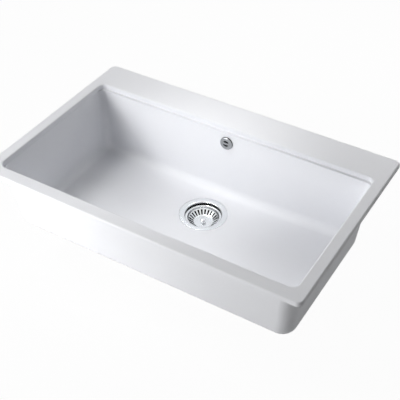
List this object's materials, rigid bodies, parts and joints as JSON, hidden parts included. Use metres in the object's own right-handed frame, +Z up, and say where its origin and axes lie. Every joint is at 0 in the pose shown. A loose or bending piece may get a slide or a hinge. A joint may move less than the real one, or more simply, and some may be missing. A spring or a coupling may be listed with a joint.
{
  "type": "inset kitchen sink",
  "caption": "Inset single-bowl kitchen sink in white stone composite, with tap deck, sloping bowl walls, basket strainer waste with lift-out stopper, and overflow hose.",
  "frame": {"origin": "middle of the flange, on the plane where its underside rests on the worktop", "axes": "+Z up, -Y towards the person at the sink, +X to that person's right"},
  "size_m": [0.78, 0.5, 0.2765],
  "materials": {
    "stone_composite": "smooth white quartz composite, satin",
    "stainless_steel": "satin stainless sheet",
    "polished_steel": "polished stainless",
    "black_rubber": "matte rubber",
    "white_plastic": "moulded polypropylene",
    "grey_plastic": "moulded nylon",
    "hose_plastic": "corrugated polyethylene",
    "brass": "turned brass"
  },
  "bodies": {
    "sink": {"sink_body": "stone_composite", "rim_seal": "black_rubber", "clip_anchors": "grey_plastic", "waste_flange": "stainless_steel", "waste_top_gasket": "black_rubber", "waste_lower_gasket": "black_rubber", "waste_housing": "white_plastic", "waste_insert": "brass", "waste_screw": "stainless_steel", "overflow_cap": "polished_steel", "overflow_spigot": "white_plastic", "overflow_gasket": "black_rubber", "overflow_elbow": "white_plastic", "overflow_hose": "hose_plastic", "upper_hose_nut": "white_plastic", "upper_hose_seal": "black_rubber", "lower_hose_nut": "white_plastic", "lower_hose_seal": "black_rubber"},
    "stopper": {"basket_stem": "stainless_steel", "stopper_seal": "black_rubber", "snap_ring": "stainless_steel", "basket_knob": "polished_steel"},
    "basket": {"strainer_basket": "stainless_steel"}
  },
  "joints": [
    {"name": "basket_lift", "type": "slide", "parent": "sink", "child": "stopper", "axis": [0, 0, 1], "range_m": [0, 0.25]},
    {"name": "basket_turn", "type": "hinge", "parent": "stopper", "child": "basket", "pos_m": [0, 0.0485, -0.195], "axis": [0, 0, 1], "continuous": true}
  ]
}
